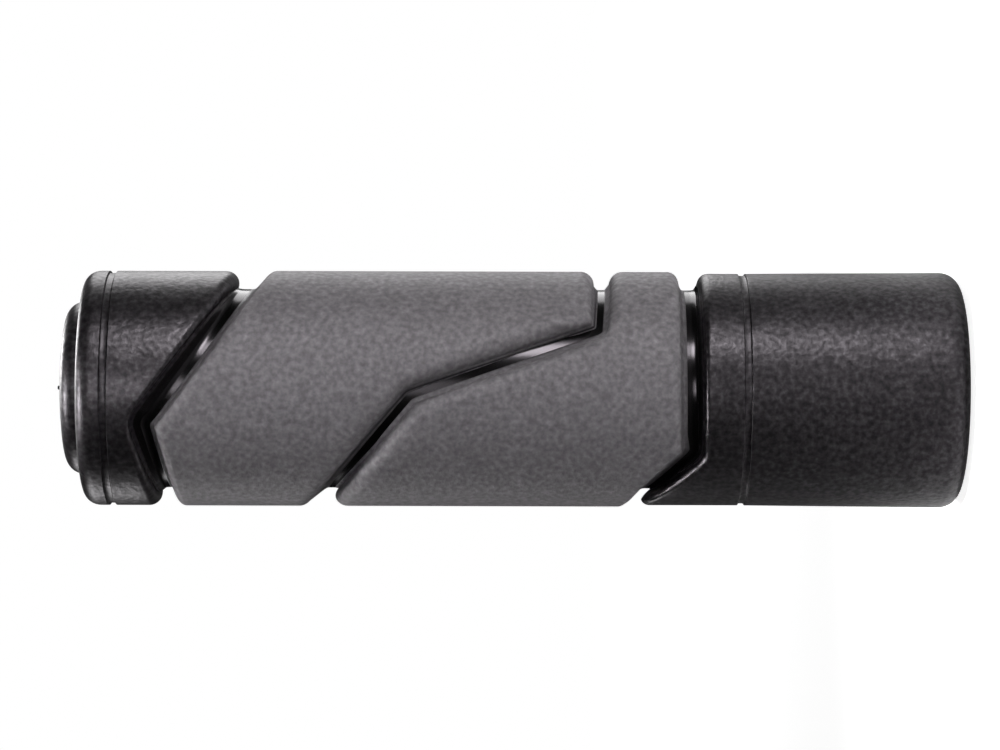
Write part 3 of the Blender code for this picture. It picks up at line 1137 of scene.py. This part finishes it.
@dataclass(frozen=True)
class Studio:
    """The pale floor, the white surround, the lamps and the camera."""

    floor_size: float = 3.0
    floor_drop: float = 0.0004
    near_lift: float = 0.84
    far_lift: float = 1.0
    floor_grey: float = 0.86
    floor_roughness: float = 0.9
    # The floor's faint glow in glossy rays near the grip's open end: a painted reflection on the
    # rim.
    painted_reflection_lift: float = 0.10
    painted_reflection_start: float = 0.6
    painted_reflection_reach: float = 0.036
    near_reach: float = 0.15
    far_reach: float = 0.60
    ambient: float = 0.006
    lens: float = 126.0
    sensor: float = 36.0
    clip_near: float = 0.01
    clip_far: float = 20.0
    distance: float = 0.4774
    view_height: float = 0.06506
    view_side: float = 0.00186
    shift: float = 0.020
    roll: float = math.radians(0.165)
    lamps: tuple[SoftLamp, ...] = (
        SoftLamp("key_lamp", (0.455, -0.440, 0.078), (0.16, 0.13), 1.75),
        SoftLamp("rear_lamp", (0.420, 0.460, 0.100), (0.40, 0.40), 1.88),
        SoftLamp("fill_lamp", (0.020, -0.620, 0.160), (0.16, 0.16), 0.47),
        SoftLamp("spot_lamp", (0.000, -0.600, 0.230), (0.07, 0.07), 0.006, LAND_AIM, 16.0),
        SoftLamp("low_lamp", (-0.340, 0.240, 0.230), (0.24, 0.24), 0.040, DOME_AIM, 28.0),
        SoftLamp("end_lamp", (-0.060, -0.040, 0.560), (0.16, 0.16), 0.085, DOME_AIM, 20.0),
        SoftLamp("end_rear_lamp", (0.050, 0.320, 0.420), (0.24, 0.24), 0.080, DOME_AIM, 24.0),
    )

    @staticmethod
    def _seen(tree: bpy.types.NodeTree) -> Field:
        """Give 1 on rays that show the background: from the camera and through glass."""
        path = tree.nodes.new("ShaderNodeLightPath")
        camera = Field(tree, path.outputs["Is Camera Ray"])
        return camera.high(Field(tree, path.outputs["Is Transmission Ray"]))

    def _world(self) -> None:
        """Make the surround: almost dark where it lights the grip, white where it is seen."""
        world = bpy.data.worlds.new("surround")
        bpy.context.scene.world = world
        world.use_nodes = True
        tree = world.node_tree
        back = tree.nodes["Background"]
        back.inputs["Color"].default_value = (1.0, 1.0, 1.0, 1.0)
        strength = self._seen(tree) * (1.0 - self.ambient) + self.ambient
        strength.into(back, "Strength")

    def _floor_finish(self) -> bpy.types.Material:
        """Make the floor's material, lifted to white where it is seen and far from the grip.
        Near the grip's open end it also glows faintly in glossy rays: a painted reflection on the
        rim.

        Returns:
            The material.
        """
        material = bpy.data.materials.new("pale_floor")
        material.use_nodes = True
        tree = material.node_tree
        shader = tree.nodes["Principled BSDF"]
        shader.inputs["Base Color"].default_value = (*[self.floor_grey] * 3, 1.0)
        shader.inputs["Roughness"].default_value = self.floor_roughness
        shader.inputs["Emission Color"].default_value = (1.0, 1.0, 1.0, 1.0)
        place = tree.nodes.new("ShaderNodeTexCoord").outputs["Object"]
        length = tree.nodes.new("ShaderNodeVectorMath")
        length.operation = "LENGTH"
        tree.links.new(place, length.inputs[0])
        away = Field(tree, length.outputs["Value"])
        far = away.eased(self.near_reach, self.far_reach)
        # Near the open end the floor glows in glossy rays too: painted reflection.
        glossy = Field(tree, tree.nodes.new("ShaderNodeLightPath").outputs["Is Glossy Ray"])
        start = self.painted_reflection_start * self.painted_reflection_reach
        close = 1.0 - away.eased(start, self.painted_reflection_reach)
        seen = self._seen(tree).high(glossy * close * self.painted_reflection_lift)
        lift = seen * (far * (self.far_lift - self.near_lift) + self.near_lift)
        lift.into(shader, "Emission Strength")
        return material

    def _floor(self) -> None:
        """Make the pale floor that the grip stands on."""
        half, low = 0.5 * self.floor_size, -self.floor_drop
        mesh = bpy.data.meshes.new("floor")
        corners = [(-half, -half, low), (half, -half, low), (half, half, low), (-half, half, low)]
        mesh.from_pydata(corners, [], [(0, 1, 2, 3)])
        mesh.materials.append(self._floor_finish())
        floor = placed("floor", mesh)

    def _camera(self) -> None:
        """Set the camera square to the grip's side, with the closed end on the left."""
        data = bpy.data.cameras.new("view")
        data.lens = self.lens
        data.sensor_width = self.sensor
        data.shift_x = self.shift
        data.clip_start = self.clip_near
        data.clip_end = self.clip_far
        camera = placed("view", data)
        right, up, back = Vector((0, 0, -1)), Vector((1, 0, 0)), Vector((0, -1, 0))
        turn = Matrix((right, up, back)).transposed().to_4x4()
        spot = Matrix.Translation((self.view_side, -self.distance, self.view_height))
        camera.matrix_world = spot @ turn @ Matrix.Rotation(self.roll, 4, "Z")
        bpy.context.scene.camera = camera

    def build(self) -> None:
        """Build the whole studio."""
        self._world()
        self._floor()
        for lamp in self.lamps:
            lamp.build()
        self._camera()
        bpy.context.scene.view_settings.view_transform = "Standard"
        LOG.info("studio: %d lamps", len(self.lamps))


def clear_start() -> None:
    """Remove what Blender's start file holds, apart from the frame."""
    kept = set(frame["nodes"].values()) | set(frame["bodies"].values())
    for item in list(bpy.data.objects):
        if item not in kept:
            bpy.data.objects.remove(item, do_unlink=True)


def make_pieces() -> list[MouldedPiece]:
    """Describe the grip's three pieces.

    Returns:
        The pieces, ready to build.
    """
    sizes = GripSizes()
    black = RubberFinish(
        "black_rubber", colour=(0.0065, 0.0058, 0.0065), roughness=0.40, grain_height=0.00006,
        gloss_and_shade_colour=(0.002, 0.002, 0.002), polish_roughness=0.18,
        speckle=2.4, sparkle=2.4, glint=2.5, tint=(1.0, 0.92, 1.0),
    )
    # The grey's near-black colour for its glossy parts is painted shade on the bands' wall feet
    # and lower walls.
    grey = RubberFinish(
        "grey_rubber", colour=(0.142, 0.134, 0.142), roughness=0.58, grain_height=0.00010,
        gloss_and_shade_colour=(0.012, 0.011, 0.012), polish_roughness=0.30,
        speckle=1.3, sparkle=1.3, glint=1.0,
    )

    def edge(label: str, line: GrooveLine, side: Side, section: EdgeSection) -> LipEdge:
        """Describe one edge of a grey band."""
        return LipEdge(label, line, side, sizes.outer, sizes.band_foot, section)

    outer = GreyBand(
        "outer_band", "outer_grey_band", "grey_rubber", grey, sizes,
        upper=edge("Upper", sizes.closed_line(), Side.BELOW, sizes.closed_grey),
        lower=edge("Lower", sizes.middle_line(), Side.ABOVE, sizes.middle_outer),
        # The outer band's lower wall is painted near black: painted shade along the middle
        # groove.
        lower_gloss_and_shade=0.95,
    )
    inner = GreyBand(
        "inner_band", "inner_grey_band", "grey_rubber", grey, sizes,
        upper=edge("Upper", sizes.middle_line(), Side.BELOW, sizes.middle_inner),
        lower=edge("Lower", sizes.open_line(), Side.ABOVE, sizes.open_grey),
    )
    return [GripBody("grip_sleeve", "grip_body", "black_rubber", black, sizes), outer, inner]


def main() -> None:
    """Build the grip and the studio."""
    logging.basicConfig(level=logging.INFO, format="%(name)s: %(message)s")
    clear_start()
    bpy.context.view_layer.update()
    for piece in make_pieces():
        piece.build()
    Studio().build()
    bpy.context.view_layer.update()


if __name__ == "__main__":
    main()
